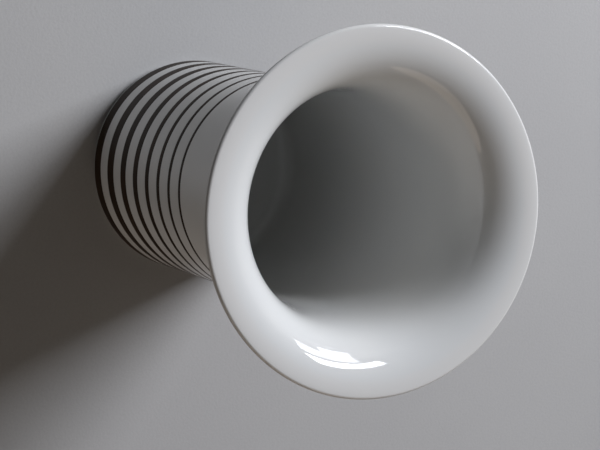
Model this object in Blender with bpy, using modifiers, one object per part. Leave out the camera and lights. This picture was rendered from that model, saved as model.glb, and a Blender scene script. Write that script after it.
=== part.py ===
"""A porcelain vase with a trumpet mouth, a foot ring and eight painted stripes, standing upright.

Metres, +Z up. The origin is the centre of the foot's underside, and +Z runs up the axis to the mouth.
Every sub-part is turned about that axis from an outline of (radius, height) points.
"""

import math

import bpy
from mathutils import Vector

# Driving dimensions
HEIGHT = 0.170  # from the table to the top of the lip
MOUTH_RADIUS = 0.060  # outside of the lip
WAIST_RADIUS = 0.0403  # outside of the narrowest place
WAIST_DEPTH = 0.060  # how far the narrowest place lies below the lip
BASE_RADIUS = 0.0443  # outside of the body at its lower edge, before the corner is rounded
WAIST_BEND = 0.2  # how soon below the waist the wall runs straight, as a share of the height below it
WALL = 0.0022  # thickness of the porcelain
FLOOR = 0.0030  # thickness of the bottom

# Mouth: how hard the curve is pulled up the neck and outwards to the lip
NECK_PULL = 0.0380
LIP_PULL = 0.0210

# Foot
FOOT_DROP = 0.0012  # how far the foot ring stands below the body
FOOT_OUTER_RADIUS = 0.0390
FOOT_WIDTH = 0.0035
FOOT_SEAT = 0.0030  # height of the seat that the ring is fixed to
RECESS = 0.0046  # height of the bottom inside the ring
CORNER_RADIUS = 0.0018  # lower outer edge of the body
FLOOR_CORNER_RADIUS = 0.0060  # inside, where the wall meets the bottom

# Stripes, from the widest at the foot to the narrowest
STRIPE_WIDTHS = (0.0075, 0.0071, 0.0058, 0.0048, 0.0038, 0.0030, 0.0024, 0.0020)
STRIPE_SPACING = 0.0079  # white between two stripes
STRIPE_START = 0.0034  # lower edge of the first stripe
STRIPE_THICKNESS = 0.0003
CLEARANCE = 0.0003  # between sub-parts that touch on the real vase

# Fineness
TURN_STEPS = 48
FLARE_POINTS = 13
WALL_POINTS = 7
ARC_POINTS = 5
SHARP_ANGLE = math.radians(35)

WAIST_Z = HEIGHT - WAIST_DEPTH
LIP_CENTRE = Vector((MOUTH_RADIUS - WALL / 2, HEIGHT - WALL / 2))
FLOOR_TOP = RECESS + FLOOR


def clear_scene():
    for obj in list(bpy.data.objects):
        bpy.data.objects.remove(obj)


def arc(centre, radius, start, end, points=ARC_POINTS):
    """Points on a circle of this radius, between two angles in degrees."""
    angles = [math.radians(start + (end - start) * i / (points - 1)) for i in range(points)]
    return [Vector((centre[0] + radius * math.cos(a), centre[1] + radius * math.sin(a))) for a in angles]


def body_radius(z):
    """Outer radius of the body below the waist: a gentle bend, then an almost straight line to the base."""
    fall = (WAIST_Z - z) / (WAIST_Z - FOOT_DROP)
    spread = (1 + WAIST_BEND) * fall**2 / (fall + WAIST_BEND)
    return WAIST_RADIUS + (BASE_RADIUS - WAIST_RADIUS) * spread


def flare(side):
    """The mouth from the waist to the lip. side is 1 for the outside of the wall and -1 for the inside."""
    start = Vector((WAIST_RADIUS - WALL / 2, WAIST_Z))
    neck = start + Vector((0, NECK_PULL))
    lip = LIP_CENTRE - Vector((LIP_PULL, 0))
    points = []
    for i in range(FLARE_POINTS):
        t = i / (FLARE_POINTS - 1)
        u = 1 - t
        middle = start * u**3 + neck * (3 * t * u**2) + lip * (3 * t**2 * u) + LIP_CENTRE * t**3
        along = (neck - start) * u**2 + (lip - neck) * (2 * t * u) + (LIP_CENTRE - lip) * t**2
        outwards = Vector((along.y, -along.x)).normalized()
        points.append(middle + outwards * side * WALL / 2)
    return points


def inner_wall():
    """The inside below the waist, from the bottom up: the corner at the floor, then the wall."""
    corner_z = FLOOR_TOP + FLOOR_CORNER_RADIUS
    centre = (body_radius(corner_z) - WALL - FLOOR_CORNER_RADIUS, corner_z)
    points = arc(centre, FLOOR_CORNER_RADIUS, -90, 0)
    for i in range(1, WALL_POINTS):
        z = corner_z + (WAIST_Z - corner_z) * i / WALL_POINTS
        points.append(Vector((body_radius(z) - WALL, z)))
    return points


def stripe_heights():
    """The lower and upper edge of each stripe, from the foot up."""
    heights = []
    low = STRIPE_START
    for width in STRIPE_WIDTHS:
        heights.append((low, low + width))
        low += width + STRIPE_SPACING
    return heights


def outer_wall():
    """The outside below the waist, from the top down, with a shallow seat for each stripe."""
    depth = STRIPE_THICKNESS + CLEARANCE
    points = []
    for low, high in reversed(stripe_heights()):
        top = high + CLEARANCE
        bottom = low - CLEARANCE
        points.append(Vector((body_radius(top), top)))
        points.append(Vector((body_radius(top) - depth, top)))
        points.append(Vector((body_radius(bottom) - depth, bottom)))
        points.append(Vector((body_radius(bottom), bottom)))
    return points


def underside():
    """The lower edge of the body, the seat of the foot ring, and the raised bottom inside the ring."""
    corner_z = FOOT_DROP + CORNER_RADIUS
    points = arc((body_radius(corner_z) - CORNER_RADIUS, corner_z), CORNER_RADIUS, 0, -90)
    seat_outer = FOOT_OUTER_RADIUS + CLEARANCE
    seat_inner = FOOT_OUTER_RADIUS - FOOT_WIDTH
    points.append(Vector((seat_outer, FOOT_DROP)))
    points.append(Vector((seat_outer, FOOT_SEAT)))
    points.append(Vector((seat_inner, FOOT_SEAT)))
    points.append(Vector((seat_inner - (RECESS - FOOT_SEAT), RECESS)))
    points.append(Vector((0, RECESS)))
    return points


def body_outline():
    """From the middle of the floor, up the inside, over the lip, down the outside and under the base."""
    lip = arc(LIP_CENTRE, WALL / 2, 90, -90, 2 * ARC_POINTS - 1)
    outline = [Vector((0, FLOOR_TOP))]
    outline += inner_wall()
    outline += flare(-1)
    outline += lip[1:-1]
    outline += reversed(flare(1))
    outline += outer_wall()
    outline += underside()
    return outline


def stripe_outline(low, high):
    """One stripe: a thin ring that follows the wall, with its outer face flush with the glaze."""
    return [
        Vector((body_radius(high) - STRIPE_THICKNESS, high)),
        Vector((body_radius(high), high)),
        Vector((body_radius(low), low)),
        Vector((body_radius(low) - STRIPE_THICKNESS, low)),
    ]


def foot_outline():
    """The ring that the vase stands on, with its lower edges rounded off."""
    edge = FOOT_DROP / 2
    inner = FOOT_OUTER_RADIUS - FOOT_WIDTH
    top = FOOT_SEAT - CLEARANCE
    outline = [Vector((inner, top)), Vector((FOOT_OUTER_RADIUS, top))]
    outline += arc((FOOT_OUTER_RADIUS - edge, edge), edge, 0, -90)
    outline += arc((inner + edge, edge), edge, -90, -180)
    return outline


def turned(name, outline, closed, material, collection):
    """An object turned about Z. A closed outline makes a ring, and an open one starts and ends on the axis."""
    mesh = bpy.data.meshes.new(name)
    edges = [(i, i + 1) for i in range(len(outline) - 1)]
    if closed:
        edges.append((len(outline) - 1, 0))
    mesh.from_pydata([(point.x, 0, point.y) for point in outline], edges, [])
    obj = bpy.data.objects.new(name, mesh)
    collection.objects.link(obj)
    screw = obj.modifiers.new("Turn", "SCREW")
    screw.axis = "Z"
    screw.angle = math.tau
    screw.steps = TURN_STEPS
    screw.render_steps = TURN_STEPS
    screw.use_merge_vertices = True
    screw.merge_threshold = 0.00001
    graph = bpy.context.evaluated_depsgraph_get()
    solid = bpy.data.meshes.new_from_object(obj.evaluated_get(graph))
    obj.modifiers.clear()
    obj.data = solid
    bpy.data.meshes.remove(mesh)
    solid.name = name
    solid.shade_smooth()
    solid.set_sharp_from_angle(angle=SHARP_ANGLE)
    solid.materials.clear()
    solid.materials.append(material)
    return obj


def principled(name, color, roughness):
    material = bpy.data.materials.new(name)
    material.use_nodes = True
    shader = material.node_tree.nodes["Principled BSDF"]
    shader.inputs["Base Color"].default_value = (*color, 1)
    shader.inputs["Roughness"].default_value = roughness
    return material


def main():
    clear_scene()
    vase = bpy.data.collections.new("porcelain_vase")
    bpy.context.scene.collection.children.link(vase)
    glaze = principled("white_glaze", (0.78, 0.78, 0.76), 0.04)
    enamel = principled("brown_enamel", (0.026, 0.015, 0.008), 0.38)
    biscuit = principled("bare_porcelain", (0.68, 0.65, 0.60), 0.8)
    turned("vase_body", body_outline(), False, glaze, vase)
    turned("foot_ring", foot_outline(), True, biscuit, vase)
    for number, (low, high) in enumerate(stripe_heights(), start=1):
        turned(f"stripe_{number}", stripe_outline(low, high), True, enamel, vase)


main()
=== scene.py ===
"""The looks of the porcelain vase: glazed body, foot ring and painted stripes, with floor, light and camera."""

import math

import bmesh
import bpy
import numpy as np
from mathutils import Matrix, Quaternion, Vector


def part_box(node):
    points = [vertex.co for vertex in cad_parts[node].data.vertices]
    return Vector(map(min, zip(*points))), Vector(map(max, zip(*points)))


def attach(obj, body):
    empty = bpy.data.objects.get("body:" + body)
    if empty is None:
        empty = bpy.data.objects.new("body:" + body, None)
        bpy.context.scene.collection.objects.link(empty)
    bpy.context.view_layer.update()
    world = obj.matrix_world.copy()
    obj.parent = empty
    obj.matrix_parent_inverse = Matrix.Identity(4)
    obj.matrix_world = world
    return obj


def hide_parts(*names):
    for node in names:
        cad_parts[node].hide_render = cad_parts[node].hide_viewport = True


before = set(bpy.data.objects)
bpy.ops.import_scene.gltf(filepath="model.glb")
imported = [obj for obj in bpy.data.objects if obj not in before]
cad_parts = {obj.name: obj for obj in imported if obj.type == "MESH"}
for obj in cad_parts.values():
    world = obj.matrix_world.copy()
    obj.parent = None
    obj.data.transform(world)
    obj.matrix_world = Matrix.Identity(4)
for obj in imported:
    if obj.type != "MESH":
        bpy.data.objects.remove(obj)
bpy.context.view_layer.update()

# The frame's own sizes, in metres
BODY_LOW, BODY_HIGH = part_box("vase_body")
STRIPES = [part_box(f"stripe_{number}") for number in range(1, 9)]
HEIGHT = BODY_HIGH.z
MOUTH_RADIUS = BODY_HIGH.x
BODY_FOOT = BODY_LOW.z
FOOT_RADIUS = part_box("foot_ring")[1].x

# Shape of the wall, as in the design
WAIST_RADIUS = 0.0403
WAIST_DEPTH = 0.060
WAIST_Z = HEIGHT - WAIST_DEPTH
BASE_RADIUS = 0.0443
WAIST_BEND = 0.2
WALL = 0.0022
NECK_PULL = 0.0380
LIP_PULL = 0.0210
LIP_CENTRE = Vector((MOUTH_RADIUS - WALL / 2, HEIGHT - WALL / 2))

# Shape of the bottom and the foot
RECESS = 0.0046  # height of the bottom inside the foot ring
BOTTOM = 0.0030  # its thickness
FLOOR_TOP = RECESS + BOTTOM
FLOOR_CORNER_RADIUS = 0.0060
CORNER_RADIUS = 0.0018
EDGE_Z = BODY_FOOT + CORNER_RADIUS
FOOT_WIDTH = 0.0035
FOOT_SEAT = 0.0030
FOOT_EDGE = 0.0005
SEAT_GAP = 0.0002  # between the glaze and the outside of the foot ring
RECESS_CORNER = 0.0016
RECESS_STEP = 0.0030  # from the ring inwards to the corner's centre
RECESS_FLAT = 0.0040  # from the ring inwards to the first point of the flat middle

# What the kiln did: the mouth is a hair oval and sits a hair off the axis
OVALITY = 0.00031
OVAL_AZIMUTH = math.radians(47.6)
MOUTH_SHIFT = 0.00022

# Where the glaze and the enamel end
GLAZE_BEAD = 0.0004
SKIN_PROUD = 0.00006
SKIN_DEEP = 0.00010
SKIN_ROUNDING = 1 / 12  # share of a stripe's width over which each edge rounds off
BRUSH_WOBBLE = 0.00005
BRUSH_WAVES = (2, 3, 5, 9)  # wobbles of an edge in one turn
LAP_SPREAD = 0.00012
LAP_WIDTH = math.radians(5)

# Fineness
TURN_STEPS = 288
FLARE_POINTS = 56
STRIPE_STEPS = 360
SHARP_ANGLE = math.radians(50)

# Glaze
GLAZE_COOL = (0.765, 0.766, 0.747, 1)
GLAZE_WARM = (0.790, 0.784, 0.757, 1)
GLAZE_POOLED = (0.66, 0.72, 0.73, 1)
GLAZE_THINNED = (0.80, 0.77, 0.73, 1)
SPECK_BROWN = (0.23, 0.15, 0.10, 1)
SPECK_BLACK = (0.10, 0.09, 0.08, 1)

# Enamel
ENAMEL_DARK = (0.020, 0.010, 0.005, 1)
ENAMEL_LIGHT = (0.037, 0.020, 0.010, 1)
ENAMEL_WARM = (0.048, 0.021, 0.008, 1)
ENAMEL_SPECULAR = 0.06

# Bare porcelain
BISCUIT_DARK = (0.62, 0.58, 0.52, 1)
BISCUIT_LIGHT = (0.74, 0.71, 0.66, 1)
GLAZE_LINE = (0.55, 0.40, 0.26, 1)
SCUFFED = (0.30, 0.29, 0.28, 1)

# Floor
FLOOR_DARK = (0.52, 0.51, 0.50, 1)
FLOOR_LIGHT = (0.56, 0.55, 0.535, 1)
FLOOR_GRAIN = (0.46, 0.45, 0.44, 1)

# Camera: where it stands, the point it looks at, and its roll anticlockwise from upright
CAMERA_PLACE = Vector((0.0, -0.2181, 0.5578))
CAMERA_AIM = Vector((0.0096, -0.0266, 0.1689))
CAMERA_ROLL = math.radians(107.25)
CAMERA_LENS = 84.0  # millimetres
CAMERA_SENSOR = 36  # millimetres

# Window: a low row of two panes and a high one. Each is given by how far it lies to the side of the window's
# azimuth, how high its middle is, its width and height, and its radiance
WINDOW_AZIMUTH = math.radians(145)
WINDOW_DISTANCE = 0.9
DAYLIGHT = (0.965, 1.0, 1.085)
PANES = {
    "pane_low_left": (-0.197, 0.61, (0.170, 0.26), 10.2),
    "pane_low_right": (0.008, 0.53, (0.225, 0.44), 10.2),
    "pane_high": (-0.025, 0.96, (0.530, 0.25), 31),
}

# Panel: a soft, warm, low lamp that fills from the other side
PANEL_AZIMUTH = math.radians(4)
PANEL_ELEVATION = math.radians(12)
PANEL_DISTANCE = 1.8
PANEL_SIZE = (2.5, 0.9)
PANEL_RADIANCE = 1.25
PANEL_COLOR = (1.0, 0.85, 0.72)

# Studio sweep: a floor that curves up into a low wall on the window's side
SWEEP_AZIMUTH = math.radians(135)
SWEEP_REACH = 4.5
SWEEP_WALL = 2.6
SWEEP_CURVE = 0.8
SWEEP_HEIGHT = 1.4

# Wash: a lamp that lights the sweep's wall and faces away from the vase
WASH_DISTANCE = 1.1
WASH_HEIGHT = 2.0
WASH_TILT = math.radians(25.85)
WASH_SIZE = (5.0, 0.3)
WASH_RADIANCE = 12

AMBIENT = 0.012  # strength of the world's plain white light


def arc(centre, radius, start, end, points):
    """Points on a circle of this radius, between two angles in degrees."""
    angles = np.radians(np.linspace(start, end, points))
    return [Vector((centre[0] + radius * math.cos(a), centre[1] + radius * math.sin(a))) for a in angles]


def level(azimuth):
    """The level direction at this azimuth."""
    return Vector((math.cos(azimuth), math.sin(azimuth), 0))


def body_radius(z):
    """Outer radius below the waist: a gentle bend, then an almost straight line to the base."""
    fall = (WAIST_Z - z) / (WAIST_Z - BODY_FOOT)
    share = (1 + WAIST_BEND) * fall**2 / (fall + WAIST_BEND)
    return WAIST_RADIUS + (BASE_RADIUS - WAIST_RADIUS) * share


def flare(side):
    """The mouth from the waist to the lip. side is 1 for the outside of the wall and -1 for the inside."""
    start = Vector((WAIST_RADIUS - WALL / 2, WAIST_Z))
    neck = start + Vector((0, NECK_PULL))
    lip = LIP_CENTRE - Vector((LIP_PULL, 0))
    outline = []
    for t in np.linspace(0, 1, FLARE_POINTS):
        u = 1 - t
        middle = start * u**3 + neck * (3 * t * u**2) + lip * (3 * t**2 * u) + LIP_CENTRE * t**3
        along = (neck - start) * u**2 + (lip - neck) * (2 * t * u) + (LIP_CENTRE - lip) * t**2
        outwards = Vector((along.y, -along.x)).normalized()
        outline.append(middle + outwards * side * WALL / 2)
    return outline


def base_outline():
    """Under the base, from the outside in: the lower edge, the glaze's bead by the ring, and the recess."""
    seat_outer = FOOT_RADIUS + SEAT_GAP
    seat_inner = FOOT_RADIUS - FOOT_WIDTH
    corner_r = seat_inner - RECESS_STEP
    outline = arc((body_radius(EDGE_Z) - CORNER_RADIUS, EDGE_Z), CORNER_RADIUS, 0, -90, points=12)
    outline += arc((seat_outer + GLAZE_BEAD, BODY_FOOT + GLAZE_BEAD), GLAZE_BEAD, -90, -180, points=6)
    outline += [Vector((seat_outer, FOOT_SEAT)), Vector((seat_inner, FOOT_SEAT))]
    outline += arc((corner_r, RECESS - RECESS_CORNER), RECESS_CORNER, 0, 90, points=8)
    outline += [Vector((r, RECESS)) for r in np.linspace(seat_inner - RECESS_FLAT, 0, 12)]
    return outline


def body_outline():
    """From the middle of the floor, up the inside, over the lip, down the outside and under the base."""
    corner_z = FLOOR_TOP + FLOOR_CORNER_RADIUS
    corner = (body_radius(corner_z) - WALL - FLOOR_CORNER_RADIUS, corner_z)
    outline = [Vector((r, FLOOR_TOP)) for r in np.linspace(0, corner[0], 12, endpoint=False)]
    outline += arc(corner, FLOOR_CORNER_RADIUS, -90, 0, points=14)
    outline += [Vector((body_radius(z) - WALL, z)) for z in np.linspace(corner_z, WAIST_Z, 40)[1:-1]]
    outline += flare(-1)
    outline += arc(LIP_CENTRE, WALL / 2, 90, -90, points=17)[1:-1]
    outline += reversed(flare(1))
    outline += [Vector((body_radius(z), z)) for z in np.linspace(WAIST_Z, EDGE_Z, 54)[1:-1]]
    outline += base_outline()
    return outline


def lathe(name, outline, steps, closed=False, reshape=None):
    """A mesh turned about Z. An outline that isn't closed starts and ends on the axis.

    reshape takes and gives back arrays of radius and height, with one row per outline point and one column per
    azimuth.
    """
    turn = np.linspace(0, math.tau, steps, endpoint=False)
    radii = np.repeat([[point.x] for point in outline], steps, axis=1)
    heights = np.repeat([[point.y] for point in outline], steps, axis=1)
    if reshape:
        radii, heights = reshape(radii, heights, turn)
    ring = np.stack([radii * np.cos(turn), radii * np.sin(turn), heights], axis=-1)
    rows = len(outline)
    faces = []
    for row in range(rows if closed else rows - 1):
        this = row * steps
        above = (row + 1) % rows * steps
        for step in range(steps):
            after = (step + 1) % steps
            faces.append((this + step, above + step, above + after, this + after))
    mesh = bpy.data.meshes.new(name)
    mesh.from_pydata(ring.reshape(-1, 3).tolist(), [], faces)
    return mesh


def weld(mesh):
    """Makes the points on the axis one, drops the faces that close up, and turns every face outwards."""
    shape = bmesh.new()
    shape.from_mesh(mesh)
    bmesh.ops.remove_doubles(shape, verts=shape.verts, dist=1e-7)
    bmesh.ops.recalc_face_normals(shape, faces=shape.faces)
    shape.to_mesh(mesh)
    shape.free()


def linked(name, data):
    """A new object in the scene with this mesh, lamp or camera."""
    obj = bpy.data.objects.new(name, data)
    bpy.context.scene.collection.objects.link(obj)
    return obj


def piece(name, mesh, material, node):
    """The mesh as a finished object that stands for one CAD node."""
    weld(mesh)
    mesh.shade_smooth()
    mesh.set_sharp_from_angle(angle=SHARP_ANGLE)
    mesh.materials.append(material)
    obj = linked(name, mesh)
    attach(obj, "root")
    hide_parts(node)


def new_material(name):
    """A new material, its node tree and its Principled shader."""
    material = bpy.data.materials.new(name)
    material.use_nodes = True
    return material, material.node_tree, material.node_tree.nodes["Principled BSDF"]


def give(tree, socket, value):
    """Sets an input to a value, or links another node's output to it."""
    if isinstance(value, bpy.types.NodeSocket):
        tree.links.new(value, socket)
    else:
        socket.default_value = value


def add_node(tree, kind, inputs=(), **settings):
    """A node with its settings, and its inputs given as values or as another node's output."""
    made = tree.nodes.new(kind)
    for name, value in settings.items():
        setattr(made, name, value)
    for key, value in dict(inputs).items():
        give(tree, made.inputs[key], value)
    return made


def place(tree, stretch=(1, 1, 1)):
    """The point on the object, in metres, with each axis stretched."""
    point = add_node(tree, "ShaderNodeTexCoord").outputs["Object"]
    return add_node(tree, "ShaderNodeMapping", {"Vector": point, "Scale": stretch}).outputs["Vector"]


def height_of(tree, where):
    return add_node(tree, "ShaderNodeSeparateXYZ", {"Vector": where}).outputs["Z"]


def noise(tree, where, per_metre, detail=2.0, roughness=0.5):
    """Noise from 0 to 1, with this many features per metre."""
    inputs = {"Vector": where, "Scale": per_metre, "Detail": detail, "Roughness": roughness}
    return add_node(tree, "ShaderNodeTexNoise", inputs).outputs["Fac"]


def maths(tree, operation, first, second):
    return add_node(tree, "ShaderNodeMath", {0: first, 1: second}, operation=operation).outputs[0]


def eased(tree, value, start, end, to=(0.0, 1.0)):
    """The value from start to end, eased over another range, and held outside it."""
    inputs = {"Value": value, "From Min": start, "From Max": end, "To Min": to[0], "To Max": to[1]}
    return add_node(tree, "ShaderNodeMapRange", inputs, interpolation_type="SMOOTHSTEP").outputs["Result"]


def mixed(tree, share, first, second):
    """Two colours mixed, each a value or another node's output. share 0 gives the first."""
    mix = tree.nodes.new("ShaderNodeMix")
    mix.data_type = "RGBA"
    give(tree, mix.inputs[0], share)
    give(tree, mix.inputs[6], first)
    give(tree, mix.inputs[7], second)
    return mix.outputs[2]


def bumped(tree, layers):
    """A normal from layers of relief, each a height from 0 to 1 and its depth in metres."""
    normal = None
    for height, depth in layers:
        bump = add_node(tree, "ShaderNodeBump", {"Height": height, "Distance": depth, "Strength": 1.0})
        if normal:
            tree.links.new(normal, bump.inputs["Normal"])
        normal = bump.outputs["Normal"]
    return normal


def specks(tree, where, per_metre, radius, share):
    """Rare round specks: 1 inside one and 0 outside. Only this share of the cells holds one."""
    cells = add_node(tree, "ShaderNodeTexVoronoi", {"Vector": where, "Scale": per_metre})
    size = radius * per_metre
    inside = eased(tree, cells.outputs["Distance"], size * 0.6, size, to=(1.0, 0.0))
    red = add_node(tree, "ShaderNodeSeparateColor", {"Color": cells.outputs["Color"]}).outputs["Red"]
    chosen = maths(tree, "LESS_THAN", red, share)
    return maths(tree, "MULTIPLY", inside, chosen)


def glaze_color(tree, where):
    """Cool where the glaze pools at the foot, warm where it thins on the lip, with a few specks."""
    z = height_of(tree, where)
    tone = eased(tree, noise(tree, where, per_metre=24, detail=3.0), 0.3, 0.7)
    color = mixed(tree, tone, GLAZE_COOL, GLAZE_WARM)
    drift = maths(tree, "MULTIPLY", noise(tree, where, per_metre=90), 0.004)
    pooled = eased(tree, maths(tree, "SUBTRACT", z, drift), BODY_FOOT - 0.001, 0.006, to=(0.6, 0.0))
    color = mixed(tree, pooled, color, GLAZE_POOLED)
    thinned = eased(tree, z, HEIGHT - 0.0007, HEIGHT - 0.0001, to=(0.0, 0.5))
    color = mixed(tree, thinned, color, GLAZE_THINNED)
    color = mixed(tree, specks(tree, where, per_metre=70, radius=0.00026, share=0.08), color, SPECK_BROWN)
    return mixed(tree, specks(tree, where, per_metre=120, radius=0.00014, share=0.08), color, SPECK_BLACK)


def glaze_material():
    """Clear glaze over white porcelain: almost mirror smooth, over a wall that isn't quite even."""
    material, tree, shader = new_material("white_glaze")
    where = place(tree)
    tree.links.new(glaze_color(tree, where), shader.inputs["Base Color"])
    gloss = eased(tree, noise(tree, where, per_metre=70, detail=3.0), 0.3, 0.7, to=(0.020, 0.045))
    tree.links.new(gloss, shader.inputs["Roughness"])
    waves = noise(tree, where, per_metre=26, detail=1.0)
    turning_marks = noise(tree, place(tree, stretch=(6, 6, 260)), per_metre=1.0)
    orange_peel = noise(tree, where, per_metre=700, detail=1.0)
    relief = bumped(tree, [(waves, 0.00004), (turning_marks, 0.000004), (orange_peel, 0.0000009)])
    tree.links.new(relief, shader.inputs["Normal"])
    return material


def enamel_material():
    """Dark brown enamel laid on with a brush while the vase turned: satin, with streaks that run round."""
    material, tree, shader = new_material("brown_enamel")
    where = place(tree)
    streaks = noise(tree, place(tree, stretch=(30, 30, 2600)), per_metre=1.0, detail=3.0, roughness=0.6)
    color = mixed(tree, eased(tree, streaks, 0.3, 0.7), ENAMEL_DARK, ENAMEL_LIGHT)
    patches = eased(tree, noise(tree, where, per_metre=60), 0.45, 0.75, to=(0.0, 0.5))
    color = mixed(tree, patches, color, ENAMEL_WARM)
    tree.links.new(color, shader.inputs["Base Color"])
    tree.links.new(eased(tree, streaks, 0.25, 0.75, to=(0.34, 0.47)), shader.inputs["Roughness"])
    shader.inputs["Specular IOR Level"].default_value = ENAMEL_SPECULAR
    grain = noise(tree, where, per_metre=1400, detail=1.0)
    relief = bumped(tree, [(streaks, 0.000012), (grain, 0.000002)])
    tree.links.new(relief, shader.inputs["Normal"])
    return material


def biscuit_material():
    """Bare fired porcelain: sandy grain, a warm line where the glaze stops, and grey scuffs underneath."""
    material, tree, shader = new_material("bare_porcelain")
    where = place(tree)
    z = height_of(tree, where)
    grain = noise(tree, where, per_metre=2600, detail=3.0, roughness=0.65)
    color = mixed(tree, eased(tree, grain, 0.3, 0.7), BISCUIT_DARK, BISCUIT_LIGHT)
    uneven = maths(tree, "MULTIPLY", noise(tree, where, per_metre=300), 0.0006)
    line = eased(tree, maths(tree, "ADD", z, uneven), 0.0009, 0.0014, to=(0.0, 0.6))
    color = mixed(tree, line, color, GLAZE_LINE)
    underneath = eased(tree, z, 0.0, 0.0003, to=(0.7, 0.0))
    scuffs = maths(tree, "MULTIPLY", underneath, noise(tree, where, per_metre=500, detail=3.0))
    color = mixed(tree, scuffs, color, SCUFFED)
    tree.links.new(color, shader.inputs["Base Color"])
    tree.links.new(eased(tree, grain, 0.3, 0.7, to=(0.72, 0.9)), shader.inputs["Roughness"])
    tree.links.new(bumped(tree, [(grain, 0.00003)]), shader.inputs["Normal"])
    return material


def floor_material():
    """A pale plastered board, matt, with the finest unevenness."""
    material, tree, shader = new_material("floor")
    where = place(tree)
    cloud = noise(tree, where, per_metre=5, detail=4.0)
    grain = noise(tree, where, per_metre=900, detail=3.0)
    color = mixed(tree, eased(tree, cloud, 0.3, 0.7), FLOOR_DARK, FLOOR_LIGHT)
    color = mixed(tree, eased(tree, grain, 0.35, 0.75, to=(0.0, 0.25)), color, FLOOR_GRAIN)
    tree.links.new(color, shader.inputs["Base Color"])
    tree.links.new(eased(tree, grain, 0.3, 0.7, to=(0.62, 0.78)), shader.inputs["Roughness"])
    tree.links.new(bumped(tree, [(grain, 0.00006)]), shader.inputs["Normal"])
    return material


def warped_mouth(radii, heights, turn):
    """Nothing moves at the waist, and the most at the lip."""
    rise = np.clip((heights - WAIST_Z) / WAIST_DEPTH, 0, 1)
    weight = rise**2 * (3 - 2 * rise)
    oval = OVALITY * np.cos(2 * (turn - OVAL_AZIMUTH))
    shift = MOUTH_SHIFT * np.cos(turn)
    return radii + weight * (oval + shift), heights


def make_body(material):
    mesh = lathe("glazed_body", body_outline(), TURN_STEPS, reshape=warped_mouth)
    piece("glazed_body", mesh, material, "vase_body")


def make_foot(material):
    inner = FOOT_RADIUS - FOOT_WIDTH
    outline = [Vector((inner, FOOT_SEAT)), Vector((FOOT_RADIUS, FOOT_SEAT))]
    outline += arc((FOOT_RADIUS - FOOT_EDGE, FOOT_EDGE), FOOT_EDGE, 0, -90, points=6)
    outline += arc((inner + FOOT_EDGE, FOOT_EDGE), FOOT_EDGE, -90, -180, points=6)
    mesh = lathe("foot_ring_bare", outline, TURN_STEPS, closed=True)
    piece("foot_ring_bare", mesh, material, "foot_ring")


def hand_painted(low, high, rng):
    """A reshape for one stripe: its edges waver, and it is wider where the brush came round again."""
    middle = (low + high) / 2
    half = (high - low) / 2
    lap = rng.uniform(0, math.tau)
    phases = rng.uniform(0, math.tau, (2, len(BRUSH_WAVES)))

    def waver(turn, edge):
        waves = [np.sin(turn * count + phase) / count**0.5 for count, phase in zip(BRUSH_WAVES, phases[edge])]
        return BRUSH_WOBBLE * sum(waves) / 2

    def reshape(radii, heights, turn):
        away = (turn - lap + math.pi) % math.tau - math.pi
        wider = LAP_SPREAD * np.exp(-((away / LAP_WIDTH) ** 2))
        upper = waver(turn, 0) + wider
        lower = waver(turn, 1) - wider
        across = (heights - middle) / half
        return radii, heights + np.where(across > 0, upper, -lower) * across

    return reshape


def make_stripe(number, low, high, material, rng):
    """An enamel line: a thin skin on the glaze, with rounded edges."""
    outer = []
    for t in np.linspace(0, 1, 13):
        z = high + (low - high) * t
        crown = SKIN_PROUD * min(1, (min(t, 1 - t) / SKIN_ROUNDING) ** 0.5)
        outer.append(Vector((body_radius(z) + crown, z)))
    inner = [Vector((body_radius(z) - SKIN_DEEP, z)) for z in np.linspace(low, high, 5)]
    name = f"stripe_{number}_enamel"
    mesh = lathe(name, outer + inner, STRIPE_STEPS, closed=True, reshape=hand_painted(low, high, rng))
    piece(name, mesh, material, f"stripe_{number}")


def make_floor():
    """A sheet that lies flat under the vase and curves up into the wall."""
    out = level(SWEEP_AZIMUTH)
    along = Vector((-out.y, out.x, 0))
    profile = [Vector((-SWEEP_REACH, 0))]
    profile += arc((SWEEP_WALL - SWEEP_CURVE, SWEEP_CURVE), SWEEP_CURVE, -90, 0, points=32)
    profile += [Vector((SWEEP_WALL, SWEEP_HEIGHT))]
    sides = (-SWEEP_REACH, SWEEP_REACH)
    points = [out * point.x + along * side + Vector((0, 0, point.y)) for side in sides for point in profile]
    count = len(profile)
    faces = [(i, i + 1, count + i + 1, count + i) for i in range(count - 1)]
    mesh = bpy.data.meshes.new("floor")
    mesh.from_pydata(points, [], faces)
    mesh.shade_smooth()
    mesh.materials.append(floor_material())
    floor = linked("floor", mesh)


def make_camera():
    data = bpy.data.cameras.new("camera")
    data.lens = CAMERA_LENS
    data.sensor_width = CAMERA_SENSOR
    camera = linked("camera", data)
    camera.rotation_mode = "QUATERNION"
    look = (CAMERA_AIM - CAMERA_PLACE).to_track_quat("-Z", "Y")
    camera.rotation_quaternion = look @ Quaternion((0, 0, 1), CAMERA_ROLL)
    camera.location = CAMERA_PLACE
    bpy.context.scene.camera = camera


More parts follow.
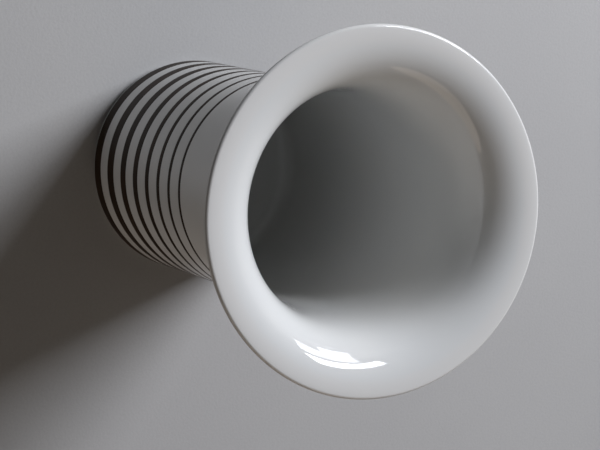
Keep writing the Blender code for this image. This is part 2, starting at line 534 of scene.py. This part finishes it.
def soft_light(name, shape, lamp_place, facing, size, radiance, color):
    """An area lamp of this radiance, hidden from the camera. It shines in the direction opposite facing."""
    width, height = size
    data = bpy.data.lights.new(name, "AREA")
    data.shape = shape
    data.size = width
    data.size_y = height
    area = width * height * (math.pi / 4 if shape == "ELLIPSE" else 1)
    data.energy = radiance * math.pi * area
    data.color = color
    lamp = linked(name, data)
    lamp.location = lamp_place
    lamp.rotation_euler = facing.to_track_quat("Z", "Y").to_euler()
    lamp.visible_camera = False


def tilted(azimuth, elevation):
    """The direction at this azimuth and elevation."""
    return level(azimuth) * math.cos(elevation) + Vector((0, 0, math.sin(elevation)))


def make_window():
    out = level(WINDOW_AZIMUTH)
    along = Vector((-out.y, out.x, 0))
    for name, (side, rise, size, radiance) in PANES.items():
        lamp_place = out * WINDOW_DISTANCE + along * side + Vector((0, 0, rise))
        soft_light(name, "RECTANGLE", lamp_place, out, size, radiance, DAYLIGHT)


def make_panel():
    facing = tilted(PANEL_AZIMUTH, PANEL_ELEVATION)
    lamp_place = Vector((0, 0, HEIGHT)) + facing * PANEL_DISTANCE
    soft_light("side_panel", "ELLIPSE", lamp_place, facing, PANEL_SIZE, PANEL_RADIANCE, PANEL_COLOR)


def make_wash():
    facing = tilted(SWEEP_AZIMUTH + math.pi, WASH_TILT)
    lamp_place = level(SWEEP_AZIMUTH) * WASH_DISTANCE + Vector((0, 0, WASH_HEIGHT))
    soft_light("wall_wash", "RECTANGLE", lamp_place, facing, WASH_SIZE, WASH_RADIANCE, (1, 1, 1))


def make_ambient():
    world = bpy.data.worlds.new("studio")
    bpy.context.scene.world = world
    world.use_nodes = True
    background = world.node_tree.nodes["Background"]
    background.inputs["Color"].default_value = (1, 1, 1, 1)
    background.inputs["Strength"].default_value = AMBIENT


def main():
    make_camera()
    glaze = glaze_material()
    enamel = enamel_material()
    rng = np.random.default_rng(8)
    make_body(glaze)
    make_foot(biscuit_material())
    for number, (low, high) in enumerate(STRIPES, start=1):
        make_stripe(number, low.z, high.z, enamel, rng)
    make_floor()
    make_window()
    make_panel()
    make_wash()
    make_ambient()
    bpy.context.scene.view_settings.view_transform = "Standard"


main()
